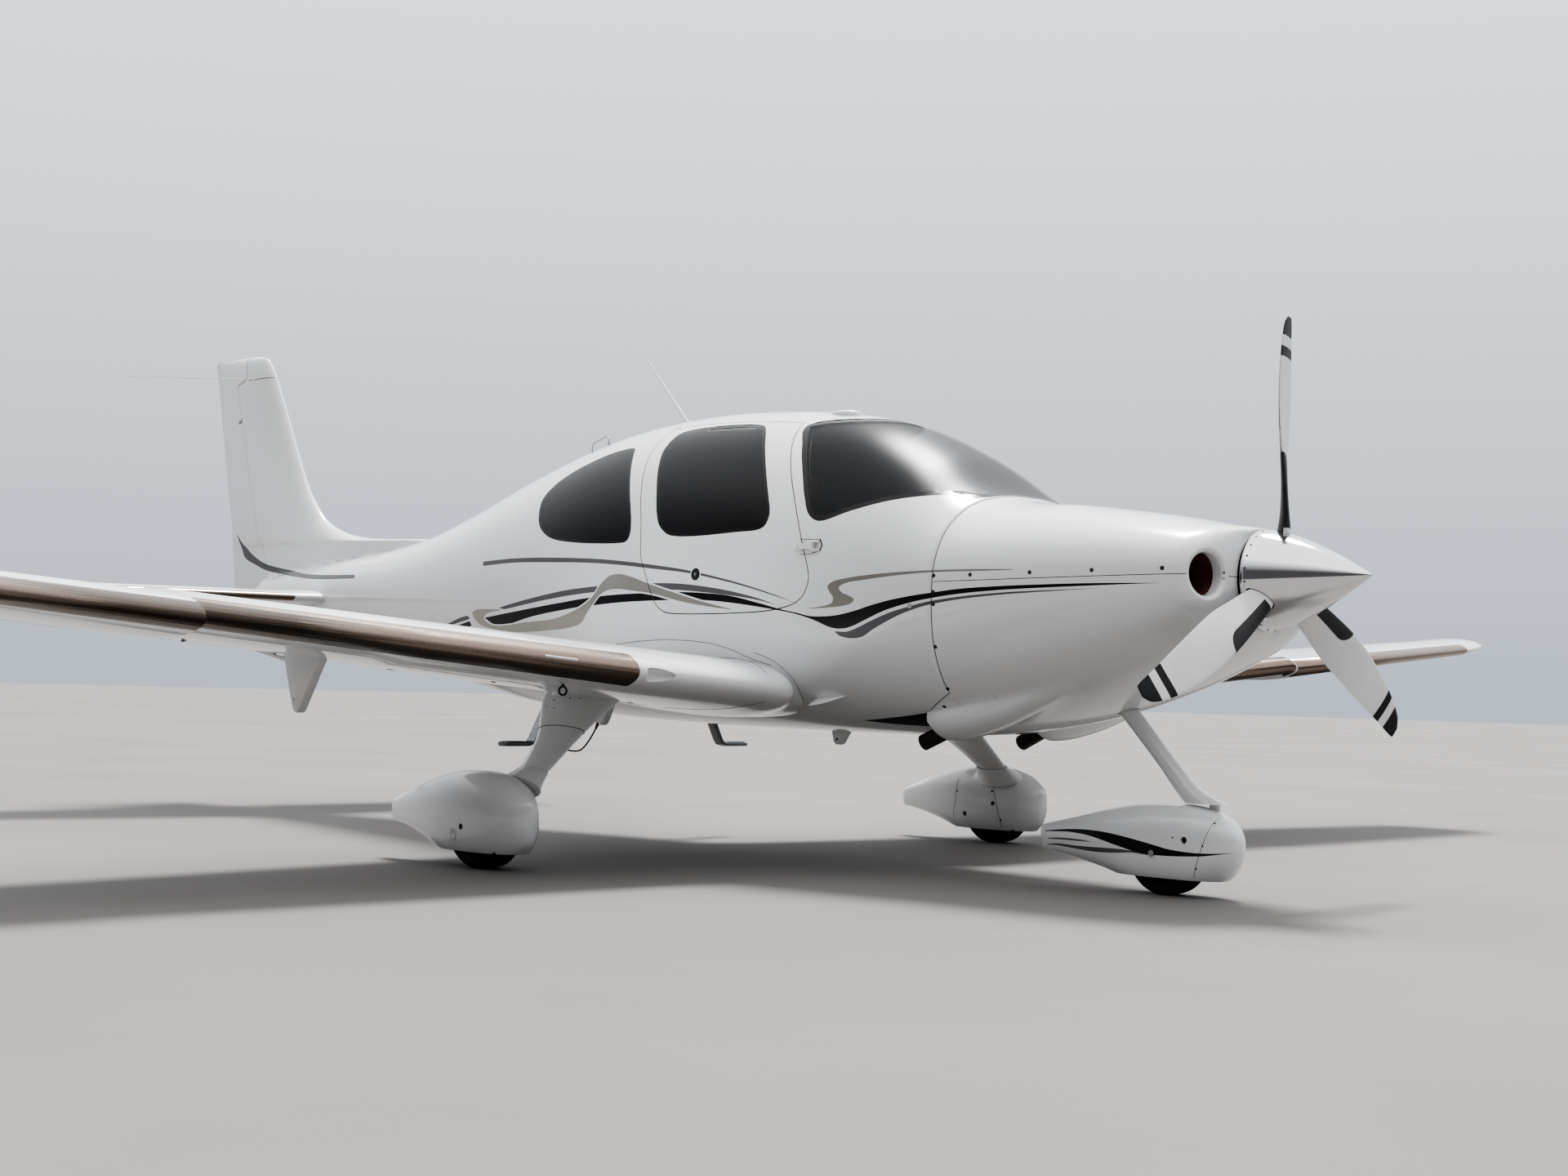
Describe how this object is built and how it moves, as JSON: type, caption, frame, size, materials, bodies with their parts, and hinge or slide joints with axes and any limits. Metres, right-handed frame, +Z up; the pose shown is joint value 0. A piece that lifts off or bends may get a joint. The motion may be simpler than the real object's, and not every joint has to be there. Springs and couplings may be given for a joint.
{
  "type": "light aircraft",
  "caption": "Low-wing light aircraft with a cowled nose engine, tractor propeller, hollow cabin with doors, and faired nosewheel gear.",
  "frame": {"origin": "on the ground, under the middle of the overall length and of the wing span", "axes": "+X forward to the nose, +Y to port, +Z up"},
  "size_m": [7.9198, 11.68, 2.65],
  "materials": {
    "white_paint": "gloss white paint over composite shell",
    "clear_glass": "lightly tinted acrylic",
    "tinted_glass": "dark tinted acrylic",
    "polished_metal": "polished spinner",
    "bare_metal": "machined aluminium",
    "cast_metal": "plain engine block",
    "dark_metal": "heat-stained steel",
    "blade_paint": "white painted metal with dark bands",
    "tyre_rubber": "plain ribbed rubber",
    "leather": "grey-tan leather",
    "carpet": "dark carpet",
    "panel_plastic": "dark moulded trim"
  },
  "bodies": {
    "airframe": {"fuselage_left": "white_paint", "fuselage_right": "white_paint", "cowl_upper": "white_paint", "cowl_lower": "white_paint", "wing": "white_paint", "stabilizer": "white_paint", "main_leg_left": "white_paint", "main_leg_right": "white_paint", "main_pant_left": "white_paint", "main_pant_right": "white_paint", "nose_leg": "white_paint", "windscreen": "clear_glass", "quarter_window_left": "tinted_glass", "quarter_window_right": "tinted_glass", "cabin_floor": "carpet", "aft_bulkhead": "carpet", "firewall": "bare_metal", "instrument_panel": "panel_plastic", "seat_front_left": "leather", "seat_front_right": "leather", "seat_rear": "leather", "engine_block": "cast_metal", "exhaust_left": "dark_metal", "exhaust_right": "dark_metal"},
    "propeller": {"spinner": "polished_metal", "propeller_hub": "bare_metal", "blade_1": "blade_paint", "blade_2": "blade_paint", "blade_3": "blade_paint"},
    "left_aileron": {"aileron_left": "white_paint"},
    "right_aileron": {"aileron_right": "white_paint"},
    "left_flap": {"flap_left": "white_paint"},
    "right_flap": {"flap_right": "white_paint"},
    "elevators": {"elevator": "white_paint"},
    "tail_rudder": {"rudder": "white_paint"},
    "left_door": {"door_left": "white_paint", "door_window_left": "tinted_glass"},
    "right_door": {"door_right": "white_paint", "door_window_right": "tinted_glass"},
    "bag_door": {"baggage_door": "white_paint"},
    "nose_gear": {"nose_fork": "bare_metal", "nose_pant": "white_paint"},
    "nose_wheels": {"nose_wheel": "bare_metal", "nose_tyre": "tyre_rubber"},
    "left_wheel": {"main_wheel_left": "bare_metal", "main_tyre_left": "tyre_rubber"},
    "right_wheel": {"main_wheel_right": "bare_metal", "main_tyre_right": "tyre_rubber"}
  },
  "joints": [
    {"name": "propeller_spin", "type": "hinge", "parent": "airframe", "child": "propeller", "pos_m": [3.591, 0, 1.194], "axis": [0.9996, 0, 0.029], "continuous": true},
    {"name": "nose_caster", "type": "hinge", "parent": "airframe", "child": "nose_gear", "pos_m": [3.315, 0, 0.35], "axis": [0, 0, 1], "range_deg": [-85, 85]},
    {"name": "nose_wheel_spin", "type": "hinge", "parent": "nose_gear", "child": "nose_wheels", "pos_m": [3.113, 0, 0.16], "axis": [0, 1, 0], "continuous": true},
    {"name": "left_wheel_spin", "type": "hinge", "parent": "airframe", "child": "left_wheel", "pos_m": [0.97, 1.612, 0.176], "axis": [0, 1, 0], "continuous": true},
    {"name": "right_wheel_spin", "type": "hinge", "parent": "airframe", "child": "right_wheel", "pos_m": [0.97, -1.612, 0.176], "axis": [0, 1, 0], "continuous": true},
    {"name": "left_door_hinge", "type": "hinge", "parent": "airframe", "child": "left_door", "pos_m": [1.8, 0.668, 1.08], "axis": [0, 0.0995, -0.995], "range_deg": [0, 70]},
    {"name": "right_door_hinge", "type": "hinge", "parent": "airframe", "child": "right_door", "pos_m": [1.8, -0.668, 1.08], "axis": [0, 0.0995, 0.995], "range_deg": [0, 70]},
    {"name": "bag_door_hinge", "type": "hinge", "parent": "airframe", "child": "bag_door", "pos_m": [-0.322, 0.6, 1.15], "axis": [0, 0, -1], "range_deg": [0, 90]},
    {"name": "left_aileron_hinge", "type": "hinge", "parent": "airframe", "child": "left_aileron", "pos_m": [0.7854, 3.62, 0.9567], "axis": [0.0743, 0.994, 0.0808], "range_deg": [-12.5, 12.5]},
    {"name": "right_aileron_hinge", "type": "hinge", "parent": "airframe", "child": "right_aileron", "pos_m": [0.7854, -3.62, 0.9567], "axis": [-0.0743, 0.994, -0.0808], "range_deg": [-12.5, 12.5]},
    {"name": "left_flap_hinge", "type": "hinge", "parent": "airframe", "child": "left_flap", "pos_m": [0.84, 0.74, 0.612], "axis": [-0.0714, -0.9972, -0.0244], "range_deg": [0, 32]},
    {"name": "right_flap_hinge", "type": "hinge", "parent": "airframe", "child": "right_flap", "pos_m": [0.84, -0.74, 0.612], "axis": [0.0714, -0.9972, 0.0244], "range_deg": [0, 32]},
    {"name": "elevator_hinge", "type": "hinge", "parent": "airframe", "child": "elevators", "pos_m": [-2.96, 0, 1.175], "axis": [0, 1, 0], "range_deg": [-15, 25]},
    {"name": "rudder_hinge", "type": "hinge", "parent": "airframe", "child": "tail_rudder", "pos_m": [-3.222, 0, 1.05], "axis": [-0.312, 0, 0.9501], "range_deg": [-20, 20]}
  ],
  "couplings": [
    {"joint": "right_aileron_hinge", "follows": "left_aileron_hinge", "ratio": -1},
    {"joint": "right_flap_hinge", "follows": "left_flap_hinge", "ratio": 1}
  ]
}
